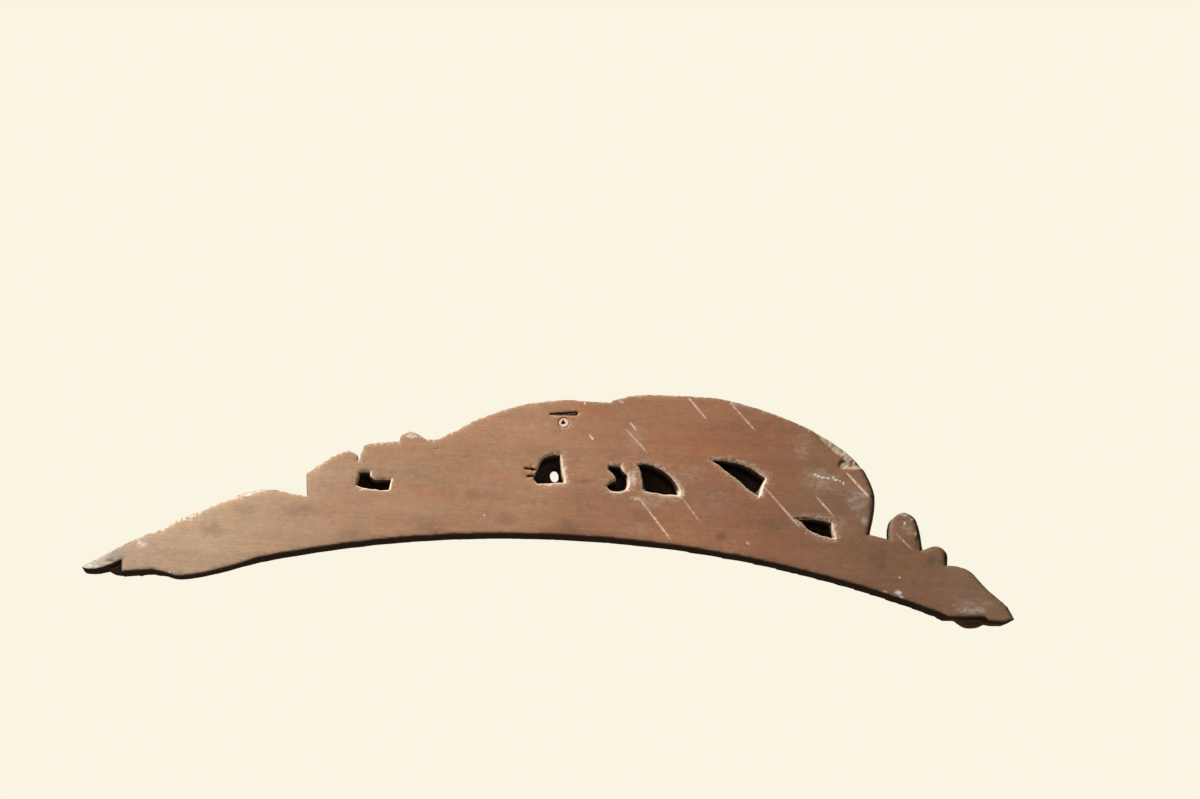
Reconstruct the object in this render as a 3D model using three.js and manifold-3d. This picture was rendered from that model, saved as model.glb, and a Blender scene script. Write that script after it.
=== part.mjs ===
// A carved crest board: one arched plank with a plain flat back, a leaf-carved front and six piercings, with a
// plug and its pilot hole near the crest, and an iron nail driven from the front and bent over into the back.
// Millimetres. +X runs along the board, +Z is up, the carved front faces -Y and the flat back faces +Y.
// The origin is at the bottom centre of the board's box.

import * as THREE from "three";
import { mergeVertices } from "three/addons/utils/BufferGeometryUtils.js";
import Module from "manifold-3d";

const wasm = await Module();
wasm.setup();

// The board's overall sizes.
const length = 900;
const height = 210;
const thickness = 34;
const reliefHeight = 9;
const edgeBevel = 1.5;

// The outlines below are drawn on a board of this size, and stretched to the sizes above.
const drawnLength = 900;
const drawnHeight = 210;

// The arch under the board: a circle's arc.
const archCrown = { x: -19, z: 64.4 };
const archRadius = 1190;
const archEnds = [-377, 285];
const archSteps = 24;
const rimWidth = 13;

// Carving. Leaves and beads are round bodies whose middle lies this far below the ground they stand on.
const carvingSink = 2;
const leafSidesRound = 10;
const leafStepsAlong = 10;
const beadRadius = 8.5;
const rimBevel = 2;

// Piercings: a wide pocket from the back that leaves a floor behind the carving, and a small mouth through both.
const pocketFloor = 4;
const pocketDepth = thickness - reliefHeight - pocketFloor;
const mouthSides = 14;
const twinWeb = 5;

// The plug and its off-centre pilot hole.
const plugDiameter = 9;
const plugDepth = 14;
const pilotDiameter = 3.8;
const pilotOffset = { x: 0.4, z: 0.3 };
const plugCentre = [-0.5, 175];

// The nail: a shank through the board, a head on the front, and a leg laid flush in a slot in the back.
const nailDiameter = 2.6;
const nailTipDiameter = 1;
const nailHeadDiameter = 7;
const nailHeadThickness = 1.4;
const nailLeg = 25;
const nailLegAngle = THREE.MathUtils.degToRad(-5);
const nailSink = 0.3;
const nailPoint = [-12.5, 185];

// Gap kept between two pieces that touch.
const clearance = 0.3;
// How far a cut runs past the face that it opens.
const overrun = 2;

const backY = thickness / 2;
const frontY = -thickness / 2;
const groundY = frontY + reliefHeight;

const wood = new THREE.MeshStandardMaterial({ color: 0x9a6b4b, roughness: 0.75, metalness: 0 });
const paleWood = new THREE.MeshStandardMaterial({ color: 0xd8bfa6, roughness: 0.8, metalness: 0 });
const iron = new THREE.MeshStandardMaterial({ color: 0x2c1c14, roughness: 0.7, metalness: 0.6 });

// ---- Drawing in the board's plane ----

const at = ([x, z]) => new THREE.Vector2((x * length) / drawnLength, (z * height) / drawnHeight);

// A closed outline from strokes: "line" runs straight to each point, and "curve" runs smoothly through them.
function outlineOf(start, strokes, place = at) {
  const shape = new THREE.Shape();
  shape.moveTo(...place(start));
  for (const [kind, ...points] of strokes) {
    const placed = points.map(place);
    if (kind === "curve") shape.splineThru(placed);
    else placed.forEach((p) => shape.lineTo(p.x, p.y));
  }
  return shape;
}

function archHeight(x) {
  const across = x - archCrown.x;
  return archCrown.z - archRadius + Math.sqrt(archRadius ** 2 - across ** 2);
}

// Points along the arch, raised by a distance, from one x to another.
function archPoints(fromX, toX, raised = 0) {
  const points = [];
  for (let i = 0; i <= archSteps; i++) {
    const x = THREE.MathUtils.lerp(fromX, toX, i / archSteps);
    points.push([x, archHeight(x) + raised]);
  }
  return points;
}

// ---- Solids ----

function solidOf(geometry) {
  const bare = new THREE.BufferGeometry();
  bare.setAttribute("position", geometry.getAttribute("position"));
  if (geometry.index) bare.setIndex(geometry.index);
  const merged = mergeVertices(bare, 1e-4);
  return new wasm.Manifold(
    new wasm.Mesh({
      numProp: 3,
      vertProperties: new Float32Array(merged.attributes.position.array),
      triVerts: new Uint32Array(merged.index.array),
    }),
  );
}

function geometryOf(solid) {
  const mesh = solid.getMesh();
  const geometry = new THREE.BufferGeometry();
  geometry.setAttribute("position", new THREE.BufferAttribute(mesh.vertProperties, 3));
  geometry.setIndex(new THREE.BufferAttribute(mesh.triVerts, 1));
  geometry.computeVertexNormals();
  return geometry;
}

const join = (solids) => solids.reduce((all, next) => all.add(next));

// A flat piece between two depths, with both of its edges bevelled by the same size.
function plate(shape, fromY, toY, bevel = 0, curveSegments = 4) {
  const geometry = new THREE.ExtrudeGeometry(shape, {
    depth: Math.abs(fromY - toY) - 2 * bevel,
    bevelEnabled: bevel > 0,
    bevelThickness: bevel,
    bevelSize: bevel,
    bevelOffset: -bevel,
    bevelSegments: bevel > edgeBevel ? 2 : 1,
    curveSegments,
  });
  geometry.rotateX(Math.PI / 2);
  geometry.translate(0, Math.max(fromY, toY) - bevel, 0);
  return solidOf(geometry);
}

// A round bar along Y.
function roundBar(diameter, fromY, toY, [x, z], sides = 24) {
  const radius = diameter / 2;
  const geometry = new THREE.CylinderGeometry(radius, radius, Math.abs(fromY - toY), sides);
  geometry.translate(x, (fromY + toY) / 2, z);
  return solidOf(geometry);
}

// ---- The board's outline ----

const outline = outlineOf([450, 7], [
  // The weathered tip and the leaf edge above it, up to the squared step.
  ["line", [426, 22.5], [414, 29.5]],
  ["curve", [397, 38.9], [379, 47]],
  ["line", [377, 46]],
  ["curve", [365.5, 56.8], [347.5, 65], [318.5, 79], [305, 86.5], [285.5, 92]],
  ["curve", [272, 91.8], [257, 89.3], [243, 87.8]],
  // Two leaf steps, each with an upright edge.
  ["line", [245, 110]],
  ["curve", [240.5, 114], [219.5, 129.5], [208.5, 134.5], [203, 134.5], [196.5, 130]],
  ["line", [196, 125.5], [191.5, 141.5]],
  ["curve", [179, 144.5], [157.5, 147]],
  // The bead.
  ["curve", [156, 153.5], [148, 157.5], [138.5, 154.5], [134, 151.3]],
  // The first dome and the dip.
  ["curve", [124.5, 151], [112.5, 156.5], [81.5, 174.5], [39, 191.5], [-0.5, 198.3], [-28, 198.5], [-45, 199]],
  // The second dome, down to the notch beside the knobs.
  ["curve", [-53.5, 203.3], [-76, 208.5], [-115, 210], [-156, 209], [-207, 197.5], [-254.6, 179.2], [-290.9, 155.6],
    [-307.2, 129.8], [-310, 111], [-305.5, 83]],
  ["line", [-326, 79]],
  // The two knobs.
  ["curve", [-325.5, 92], [-328.5, 101.5], [-338, 107], [-348, 103.5], [-353.5, 95], [-358.5, 71]],
  ["curve", [-367, 75], [-375, 75], [-382.8, 68.5], [-383, 57]],
  // The last leaf and its tip.
  ["curve", [-393, 56.5], [-406.5, 52], [-422.5, 36.3], [-443.8, 19.2]],
  ["line", [-450, 7.8], [-442, 4.2], [-432, 3.8]],
  ["line", [-425, 4.5], [-420, 8], [-384, 6.3]],
  // The arch and the foot beyond it, with the square corner and the notch under the weathered tip.
  ["line", ...archPoints(archEnds[0], archEnds[1])],
  ["curve", [308, 15.7], [337.5, 6.6], [358.5, 3], [370, 5.2], [383.5, 8]],
  ["line", [412, 3.7], [413, 15], [426.5, 7.5]],
  ["curve", [437, 5], [447, 5]],
]);

// Lobes of the carved front that hang below the back's edge.
const frontLobes = [
  outlineOf([-428, 12], [["curve", [-424, 4.5], [-417, 1], [-407, 0.3], [-399, 4.2], [-389, 12]], ["line", [-408, 20]]]),
  outlineOf([386, 15.5], [["line", [394, 24], [402.5, 12]], ["curve", [399.5, 7.5], [395.5, 5.3], [391, 8.9], [386, 15.5]]]),
  outlineOf([430, 13], [["curve", [426, 8.3], [419.5, 5.1], [411.5, 4.6], [405, 6.5]], ["line", [399, 22], [418, 24]]]),
];

// ---- The carved front ----

// A carved leaf: a body that runs from a point at its root to a point at its tip, bowed sideways by its bend.
// Half of it stands out of the ground, up to the front plane.
function leafSolid({ root, tip, width, bend }) {
  const from = at(root);
  const to = at(tip);
  const side = new THREE.Vector2(from.y - to.y, to.x - from.x).normalize();
  const body = new THREE.SphereGeometry(1, leafSidesRound, leafStepsAlong);
  const vertices = body.attributes.position;
  for (let i = 0; i < vertices.count; i++) {
    const along = Math.acos(THREE.MathUtils.clamp(vertices.getY(i), -1, 1)) / Math.PI;
    const sideways = (vertices.getX(i) * width) / 2 + bend * 4 * along * (1 - along);
    const place = from.clone().lerp(to, along).addScaledVector(side, sideways);
    const depth = groundY + carvingSink - vertices.getZ(i) * (reliefHeight + carvingSink);
    vertices.setXYZ(i, place.x, depth, place.y);
  }
  return solidOf(body);
}

const leaves = [
  // The wing with the weathered tip.
  { root: [228, 58], tip: [440, 9], width: 30, bend: 10 },
  { root: [232, 74], tip: [376, 44], width: 22, bend: 10 },
  { root: [196, 70], tip: [300, 84], width: 20, bend: 4 },
  // The two stepped leaves.
  { root: [112, 88], tip: [236, 104], width: 30, bend: -6 },
  { root: [104, 112], tip: [194, 130], width: 22, bend: 6 },
  { root: [84, 118], tip: [154, 143], width: 20, bend: 6 },
  // The first dome: a fan of leaves from the centre.
  { root: [-22, 84], tip: [112, 152], width: 30, bend: -16 },
  { root: [-26, 96], tip: [66, 174], width: 30, bend: 2 },
  { root: [-30, 104], tip: [6, 192], width: 26, bend: 10 },
  { root: [34, 76], tip: [128, 92], width: 21, bend: -6 },
  // The second dome: a long rib with leaflets that hang from it.
  { root: [-36, 100], tip: [-88, 202], width: 27, bend: -8 },
  { root: [-58, 152], tip: [-296, 122], width: 36, bend: -44 },
  { root: [-104, 176], tip: [-92, 86], width: 21, bend: -6 },
  { root: [-150, 182], tip: [-148, 82], width: 26, bend: -8 },
  { root: [-204, 174], tip: [-222, 78], width: 27, bend: -8 },
  { root: [-262, 152], tip: [-288, 66], width: 27, bend: -6 },
  // The wing with the knobs.
  { root: [-286, 60], tip: [-444, 10], width: 30, bend: -8 },
  { root: [-318, 62], tip: [-402, 46], width: 20, bend: -8 },
];

// Round beads and buds, each with its centre and the share of the bead's radius that it has.
const beads = [
  { centre: [147, 147], share: 1.15 },
  { centre: [-26, 92], share: 1.6 },
  { centre: [-340, 91], share: 1.5 },
  { centre: [-371, 65], share: 1.1 },
  { centre: [-296, 96], share: 1.1 },
];

function bead({ centre, share }) {
  const radius = beadRadius * share;
  const placed = at(centre);
  const ball = new THREE.SphereGeometry(radius, 14, 8);
  ball.scale(1, (reliefHeight + carvingSink) / radius, 1);
  ball.translate(placed.x, groundY + carvingSink, placed.y);
  return solidOf(ball);
}

// The raised rim that follows the arch.
function rimShape() {
  const low = archPoints(archEnds[0], archEnds[1], clearance);
  const high = archPoints(archEnds[1], archEnds[0], rimWidth);
  return outlineOf(low[0], [["line", ...low.slice(1), ...high]]);
}

function carving() {
  const rim = plate(rimShape(), groundY + carvingSink + rimBevel, frontY, rimBevel);
  const raised = join([rim, ...leaves.map(leafSolid), ...beads.map(bead)]);
  return raised.intersect(plate(outline, backY - edgeBevel, frontY - overrun));
}

// ---- Piercings ----

// Each has its centre on the board and its outline round that centre, drawn as seen from the front, and the
// mouth in front: its centre from the pocket's, its half sizes and its turn in degrees.
const stepPiercing = {
  centre: [179, 107],
  start: [16.5, 9],
  strokes: [
    ["line", [3.5, 9.5], [2.5, 4.5], [0, 2.5], [-17.5, 3.5], [-16, -9.5]],
    ["curve", [-8, -10.3], [7, -9.3], [18.5, -7]],
  ],
  mouth: { x: -2, z: -7.6, halfWidth: 9, halfHeight: 1.7, turn: -1 },
};
const dPiercing = {
  centre: [9.5, 129.5],
  start: [-9.5, 15],
  strokes: [
    ["line", [-16, -14], [13, -17.5]],
    ["curve", [17.5, -11], [15, -1], [8.7, 10.5], [-1, 15.2]],
  ],
  mouth: { x: -5, z: -3.2, halfWidth: 4.5, halfHeight: 6.3, turn: 0 },
};
const hookPiercing = {
  centre: [-56, 123],
  start: [10.5, 13.8],
  strokes: [
    ["line", [-3, 14.5]],
    ["curve", [-6, 9], [-10, 6], [-12.5, -0.5], [-11, -8.5], [-3, -13], [6.5, -13], [12.5, -8.2]],
    ["curve", [8, -3], [4.5, -1], [3.5, 1.2], [10, 7.5]],
  ],
  mouth: { x: -2, z: -10.8, halfWidth: 5, halfHeight: 1.6, turn: 0 },
};
// The leaf beside the hook keeps a web of its own width to it, so its centre is worked out from the hook's.
const leafPiercing = {
  centre: [hookPiercing.centre[0] - 12.5 - twinWeb - 22, 124.5],
  start: [22, 14],
  strokes: [
    ["curve", [15, 16.5], [2, 13.5], [-10.5, 7], [-18.5, -1.5], [-23, -10], [-21.5, -15]],
    ["curve", [-4, -15], [14, -12.3]],
    ["curve", [17, 2], [22, 14]],
  ],
  mouth: { x: -3, z: -12.3, halfWidth: 8, halfHeight: 1.6, turn: -4 },
};
const longPiercing = {
  centre: [-175.5, 133],
  start: [32, 15],
  strokes: [
    ["curve", [17, 16], [1, 14], [-14, 8.5], [-27, 0]],
    ["line", [-21, -20]],
    ["curve", [-14, -17], [0, -7], [16, 5], [32, 15]],
  ],
  mouth: { x: -7.3, z: -9.4, halfWidth: 6, halfHeight: 1.7, turn: 36 },
};
const smallPiercing = {
  centre: [-253, 86.5],
  start: [24, 8],
  strokes: [
    ["curve", [12, 9.5], [-3, 9.5], [-15, 7]],
    ["line", [-20, -11]],
    ["curve", [-6, -9], [6, -5.5], [14, 1.5], [24, 8]],
  ],
  mouth: { x: -5.4, z: -6.6, halfWidth: 5, halfHeight: 1.6, turn: 14 },
};
const piercings = [stepPiercing, dPiercing, hookPiercing, leafPiercing, longPiercing, smallPiercing];

function pocketCut({ centre, start, strokes }) {
  const middle = at(centre);
  const place = ([x, z]) => new THREE.Vector2(middle.x + x, middle.y + z);
  return plate(outlineOf(start, strokes, place), backY + overrun, backY - pocketDepth, 0, 3);
}

function mouthCut({ centre, mouth }) {
  const middle = at(centre);
  const shape = new THREE.Shape();
  shape.absellipse(
    middle.x + mouth.x,
    middle.y + mouth.z,
    mouth.halfWidth,
    mouth.halfHeight,
    0,
    2 * Math.PI,
    false,
    THREE.MathUtils.degToRad(mouth.turn),
  );
  return plate(shape, backY - pocketDepth / 2, frontY - overrun, 0, mouthSides);
}

// ---- The plug ----

const plugAt = at(plugCentre);

function plugHole() {
  const size = plugDiameter + 2 * clearance;
  const bottom = backY - plugDepth - clearance;
  return roundBar(size, backY + overrun, bottom, [plugAt.x, plugAt.y], 32);
}

function plugSolid() {
  const shape = new THREE.Shape();
  shape.absarc(plugAt.x, plugAt.y, plugDiameter / 2, 0, 2 * Math.PI);
  const pilot = new THREE.Path();
  pilot.absarc(plugAt.x + pilotOffset.x, plugAt.y + pilotOffset.z, pilotDiameter / 2, 0, 2 * Math.PI);
  shape.holes.push(pilot);
  return plate(shape, backY, backY - plugDepth, 0, 28);
}

// ---- The nail ----

const nailAt = at(nailPoint);
const legY = backY - nailSink - nailDiameter / 2;

// The leg, or with a margin the hollow for it, lying in the back from the bend to the point.
function legAlong(margin) {
  const wide = nailDiameter / 2 + margin;
  const narrow = nailTipDiameter / 2 + margin;
  const taper = new THREE.CylinderGeometry(narrow, wide, nailLeg + margin, 16);
  taper.translate(0, (nailLeg + margin) / 2, 0);
  taper.rotateZ(-Math.PI / 2);
  taper.rotateY(-nailLegAngle);
  taper.translate(nailAt.x, legY, nailAt.y);
  return solidOf(taper);
}

function elbow(margin) {
  const ball = new THREE.SphereGeometry(nailDiameter / 2 + margin, 20, 14);
  ball.translate(nailAt.x, legY, nailAt.y);
  return solidOf(ball);
}

const headY = groundY - nailHeadThickness / 2;

function nailSolid() {
  const place = [nailAt.x, nailAt.y];
  const shank = roundBar(nailDiameter, legY, headY, place, 20);
  const head = roundBar(nailHeadDiameter, headY + nailHeadThickness / 2, headY - nailHeadThickness / 2, place, 24);
  return join([shank, head, elbow(0), legAlong(0)]);
}

// The slot is open to the back over the whole width of the leg.
function nailCut() {
  const place = [nailAt.x, nailAt.y];
  const shank = roundBar(nailDiameter + 2 * clearance, legY, frontY - overrun, place, 20);
  const seat = roundBar(nailHeadDiameter + 2 * clearance, groundY + clearance, frontY - overrun, place, 24);
  const slot = new THREE.Shape();
  const along = new THREE.Vector2(Math.cos(nailLegAngle), Math.sin(nailLegAngle));
  const across = new THREE.Vector2(-along.y, along.x);
  const wide = nailDiameter / 2 + clearance;
  const narrow = nailTipDiameter / 2 + clearance;
  const end = nailAt.clone().addScaledVector(along, nailLeg + clearance);
  const corners = [
    nailAt.clone().addScaledVector(across, -wide),
    end.clone().addScaledVector(across, -narrow),
    end.clone().addScaledVector(across, narrow),
    nailAt.clone().addScaledVector(across, wide),
  ];
  slot.moveTo(corners[0].x, corners[0].y);
  corners.slice(1).forEach((corner) => slot.lineTo(corner.x, corner.y));
  const bend = roundBar(2 * wide, legY, backY + overrun, place, 20);
  return join([shank, seat, elbow(clearance), legAlong(clearance), bend, plate(slot, backY + overrun, legY)]);
}

// ---- The assembly ----

function boardSolid() {
  const plank = plate(outline, backY, groundY, edgeBevel);
  const lobes = frontLobes.map((shape) => plate(shape, 0, frontY));
  const carved = join([plank, ...lobes, carving()]);
  const cuts = [...piercings.map(pocketCut), ...piercings.map(mouthCut), plugHole(), nailCut()];
  return carved.subtract(join(cuts));
}

function piece(name, solid, material) {
  const mesh = new THREE.Mesh(geometryOf(solid), material);
  mesh.name = name;
  return mesh;
}

const crestBoard = new THREE.Group();
crestBoard.add(piece("carved_board", boardSolid(), wood));
crestBoard.add(piece("screw_hole_plug", plugSolid(), paleWood));
crestBoard.add(piece("clinched_nail", nailSolid(), iron));

export default crestBoard;
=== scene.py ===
"""A carved crest board, seen from its flat back.

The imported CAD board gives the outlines, the piercings and the depths. This script carves the finished board
round them as a distance field on a fine grid, meshes it, and adds the plug, the nail, the materials, the
lights and the camera. Fields are in millimetres, and Blender objects in metres. +X runs along the board,
+Y out of its back, +Z up.
"""
import math

import bmesh
import bpy
import numpy as np
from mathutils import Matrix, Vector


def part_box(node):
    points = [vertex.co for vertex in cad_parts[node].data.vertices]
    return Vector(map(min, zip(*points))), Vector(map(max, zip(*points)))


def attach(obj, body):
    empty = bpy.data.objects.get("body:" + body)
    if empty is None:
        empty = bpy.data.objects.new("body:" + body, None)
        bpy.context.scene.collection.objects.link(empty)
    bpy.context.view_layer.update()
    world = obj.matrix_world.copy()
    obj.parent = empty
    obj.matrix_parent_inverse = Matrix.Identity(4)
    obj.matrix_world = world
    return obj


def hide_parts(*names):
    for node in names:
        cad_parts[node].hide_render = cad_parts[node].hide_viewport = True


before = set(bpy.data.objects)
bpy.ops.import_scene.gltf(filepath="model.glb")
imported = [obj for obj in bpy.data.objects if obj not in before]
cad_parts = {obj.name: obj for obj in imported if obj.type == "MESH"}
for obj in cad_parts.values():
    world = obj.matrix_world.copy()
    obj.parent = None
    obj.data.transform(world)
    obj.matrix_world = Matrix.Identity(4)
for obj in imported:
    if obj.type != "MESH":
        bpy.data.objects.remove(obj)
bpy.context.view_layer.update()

import openvdb
from mathutils import Quaternion, Vector

MM = 0.001
VOXEL = 0.97
BAND = 3 * VOXEL
ADAPTIVITY = 0.12

# ---- Depths and places, from the CAD board ----

board_low, board_high = (np.array(corner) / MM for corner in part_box("carved_board"))
plug_low, plug_high = (np.array(corner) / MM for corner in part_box("screw_hole_plug"))
nail_low, nail_high = (np.array(corner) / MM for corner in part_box("clinched_nail"))

BACK = board_high[1]
FRONT = board_low[1]
RELIEF = 9.0
GROUND = FRONT + RELIEF
POCKET_FLOOR = BACK - 21.0
POCKET_FLARE = 0.1
CLEARANCE = 0.3

# Depths at which the CAD board is cut to read its outlines: through the pockets, and between them and the
# carving.
BACK_SECTION = BACK - 7.0
FRONT_SECTION = GROUND + 1.0

# The nail, as in the CAD model.
NAIL_DIAMETER = 2.6
NAIL_TIP_DIAMETER = 1.0
NAIL_HEAD_DIAMETER = 7.0
NAIL_HEAD_THICKNESS = 1.4
NAIL_LEG = 25.0
NAIL_TURN = 1.6
NAIL_ANGLE = math.radians(-5)
NAIL_SINK = 0.3
PILOT_DIAMETER = 3.8
PILOT_OFFSET = (0.4, 0.3)

# The arch under the board, as in the CAD model.
ARCH_CROWN = (-19.0, 64.4)
ARCH_RADIUS = 1190.0
ARCH_ENDS = (-377.0, 300.0)
RIM_WIDTH = 13.0


# ---- Outlines of the CAD board ----

def section(node, depth):
    """The closed loops, as arrays of (x, z), in which a CAD node's mesh crosses the plane at a depth."""
    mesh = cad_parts[node].data
    mesh.calc_loop_triangles()
    places = np.zeros(len(mesh.vertices) * 3)
    mesh.vertices.foreach_get("co", places)
    corners = np.zeros(len(mesh.loop_triangles) * 3, int)
    mesh.loop_triangles.foreach_get("vertices", corners)
    places = places.reshape(-1, 3) / MM
    triangles = places[corners.reshape(-1, 3)]
    above = triangles[:, :, 1] > depth
    crossing = triangles[above.any(1) & ~above.all(1)]
    follows = {}
    points = {}
    for triangle in crossing:
        ends = {}
        for i in range(3):
            a, b = triangle[i], triangle[(i + 1) % 3]
            if (a[1] > depth) != (b[1] > depth):
                low, high = (a, b) if a[1] < b[1] else (b, a)
                point = low + (high - low) * (depth - low[1]) / (high[1] - low[1])
                key = (round(point[0], 2), round(point[2], 2))
                points[key] = point[[0, 2]]
                ends["up" if b[1] > depth else "down"] = key
        if len(ends) == 2 and ends["up"] != ends["down"]:
            follows[ends["up"]] = ends["down"]
    loops = []
    while follows:
        start = next(iter(follows))
        chain = [start]
        while chain[-1] in follows:
            chain.append(follows.pop(chain[-1]))
        if len(chain) > 5:
            loops.append(np.array([points[key] for key in chain[:-1]]))
    return loops


def spread(loop):
    """How wide and how high a loop is."""
    return loop.max(0) - loop.min(0)


def distance(loops, x, z):
    """Signed distance from each (x, z) to the loops, negative inside them."""
    nearest = np.full(x.shape, 1e9, np.float32)
    inside = np.zeros(x.shape, bool)
    for loop in loops:
        for (ax, az), (bx, bz) in zip(loop, np.roll(loop, -1, axis=0)):
            length2 = max((bx - ax) ** 2 + (bz - az) ** 2, 1e-9)
            t = np.clip(((x - ax) * (bx - ax) + (z - az) * (bz - az)) / length2, 0, 1)
            nearest = np.minimum(nearest, (x - ax - t * (bx - ax)) ** 2 + (z - az - t * (bz - az)) ** 2)
            if az != bz:
                hits = (z >= min(az, bz)) & (z < max(az, bz)) & (x < ax + (z - az) * (bx - ax) / (bz - az))
                inside ^= hits
    return np.where(inside, -1, 1) * np.sqrt(nearest)


# ---- Small field tools ----

def smooth_step(low, high, value):
    t = np.clip((value - low) / (high - low), 0, 1)
    return t * t * (3 - 2 * t)


def smooth_max(a, b, width):
    """The larger of two fields, with the crease between them rounded over a width."""
    return np.maximum(a, b) + 0.25 * width * np.clip(1 - np.abs(a - b) / width, 0, 1) ** 2


def smooth_min(a, b, width):
    return -smooth_max(-a, -b, width)


def noise(x, z, size_x, size_z, seed):
    """Smooth noise from -1 to 1 over the board's plane, with its own grain size along each axis."""
    u, v = x / size_x + 1000.5, z / size_z + 1000.5
    i, j = np.floor(u).astype(int), np.floor(v).astype(int)
    low_i, low_j = i.min(), j.min()
    lattice = np.random.default_rng(seed).uniform(-1, 1, (i.max() - low_i + 2, j.max() - low_j + 2))
    i, j = i - low_i, j - low_j
    s, t = smooth_step(0, 1, u - np.floor(u)), smooth_step(0, 1, v - np.floor(v))
    low = lattice[i, j] * (1 - s) + lattice[i + 1, j] * s
    high = lattice[i, j + 1] * (1 - s) + lattice[i + 1, j + 1] * s
    return (low * (1 - t) + high * t).astype(np.float32)


def to_segment(x, z, start, end):
    """Distance from each (x, z) to a straight line, and the share of it at which its nearest point lies."""
    (ax, az), (bx, bz) = start, end
    t = np.clip(((x - ax) * (bx - ax) + (z - az) * (bz - az)) / ((bx - ax) ** 2 + (bz - az) ** 2), 0, 1)
    return np.hypot(x - ax - t * (bx - ax), z - az - t * (bz - az)), t


def to_line(x, z, points):
    """Distance from each (x, z) to an open line, and how far along it the nearest point is, from 0 to 1."""
    lengths = [math.dist(a, b) for a, b in zip(points, points[1:])]
    best = np.full(x.shape, 1e9, np.float32)
    share = np.zeros(x.shape, np.float32)
    done = 0.0
    for start, end, length in zip(points, points[1:], lengths):
        gap, t = to_segment(x, z, start, end)
        closer = gap < best
        best = np.where(closer, gap, best)
        share = np.where(closer, (done + t * length) / sum(lengths), share)
        done += length
    return best, share


# ---- The grid ----

margin = 3 * VOXEL
xs = np.arange(board_low[0] - margin, board_high[0] + margin, VOXEL, dtype=np.float32)
ys = np.arange(FRONT - margin, BACK + margin, VOXEL, dtype=np.float32)
zs = np.arange(board_low[2] - margin, board_high[2] + margin, VOXEL, dtype=np.float32)
X, Z = np.meshgrid(xs, zs, indexing="ij")
DEPTHS = ys[None, :, None]


def deep(field):
    """A field of the board's plane, ready to meet the depths."""
    return field[:, None, :]


back_loops = sorted(section("carved_board", BACK_SECTION), key=lambda loop: -spread(loop)[0])
front_loops = sorted(section("carved_board", FRONT_SECTION), key=lambda loop: -spread(loop)[0])
back_outline, pocket_loops = back_loops[0], [loop for loop in back_loops[1:] if spread(loop)[0] > 15]
front_outline, mouth_loops = front_loops[0], [loop for loop in front_loops[1:] if spread(loop)[0] > 5]


# ---- The sawn edges ----

def edges():
    """The outline's distance at the back and at the front, with the saw's small wander."""
    wander = 0.22 * noise(X, Z, 13, 13, 1) + 0.07 * noise(X, Z, 4, 4, 2)
    return distance([back_outline], X, Z) + wander, distance([front_outline], X, Z) + wander


# The chip knocked off the big dome's edge, along its inner side, and the patch that it ends in.
CHIP = [(-243, 186), (-256, 171.5), (-266, 163.5), (-273, 159), (-277, 155.5), (-276.5, 149)]
CHIP_PATCH = (-276.5, 150.5)
NICK_SPACING = 5.6


def signed_side(line, x, z):
    """Distance from a line, positive on its right-hand side."""
    best = np.full(x.shape, 1e9, np.float32)
    side = np.zeros(x.shape, np.float32)
    for (ax, az), (bx, bz) in zip(line, line[1:]):
        gap, _ = to_segment(x, z, (ax, az), (bx, bz))
        sign = np.sign((bx - ax) * (az - z) - (ax - x) * (bz - az))
        side = np.where(gap < best, sign * gap, side)
        best = np.minimum(best, gap)
    return side


def teeth(x, z):
    """The chisel's nicks: steep little cuts that lean the same way, with uneven spacing."""
    phase = (x * 0.92 - z * 0.39) / NICK_SPACING + 0.35 * noise(x, z, 12, 12, 4)
    nick = np.clip(1.6 * np.abs(2 * (phase - np.floor(phase)) - 1) - 0.75, 0, 1)
    return nick * (0.6 + 0.4 * noise(x, z, 6, 6, 7))


def bevel_width(back):
    """How wide the back's edge is cut away: in nicks on the steps, in a chamfer on the domes' shaded side."""
    slope_x, slope_z = np.gradient(back, VOXEL)
    upward = np.clip(slope_z, 0, 1)
    shaded = np.clip(-slope_x, 0, 1) ** 1.5 * smooth_step(-262, -290, X)
    width = 0.6 + 0.4 * noise(X, Z, 9, 9, 3) + 3.4 * shaded
    stepped = smooth_step(92, 112, X) * smooth_step(244, 238, X) * smooth_step(0.2, 0.6, upward)
    width += stepped * (0.5 + 3.2 * teeth(X, Z))
    low_ridge = smooth_step(281, 290, X) * smooth_step(324, 312, X)
    end_ridge = smooth_step(339, 345, X) * smooth_step(378, 366, X)
    width += (low_ridge + end_ridge) * upward * (2.3 + 0.9 * noise(X, Z, 6, 30, 5))
    return width


# ---- The flat back ----

# Cracks along the grain, each with its points, its half width and its depth.
CRACKS = [
    ([(36, 127.5), (30, 127), (23, 126)], 1.0, 3.0),
    ([(33, 119.5), (28, 120), (23, 120.5)], 1.1, 3.0),
    ([(30, 132), (27, 127), (28, 122), (25, 117)], 0.7, 1.5),
    ([(196, 125), (158, 131), (121, 131), (84, 130), (56, 129), (34, 127)], 0.6, 0.35),
    ([(-5, 114), (-24, 118), (-46, 122)], 0.7, 0.6),
    ([(-229, 94), (-238, 95), (-246, 95)], 0.9, 1.2),
]
# Dents and small holes, each with its place, its radius and its depth.
DENTS = [
    ((120, 142), 1.1, 1.6),
    ((189, 124), 1.0, 1.4),
    ((-335, 42), 1.5, 0.4),
    ((-289, 153), 4.0, 0.8),
    ((66, 172), 1.0, 0.8),
]
# The weathered tip: its back slopes away from the flat back beyond this place.
TIP_START = 413.0
TIP_DROP = 4.0


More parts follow.
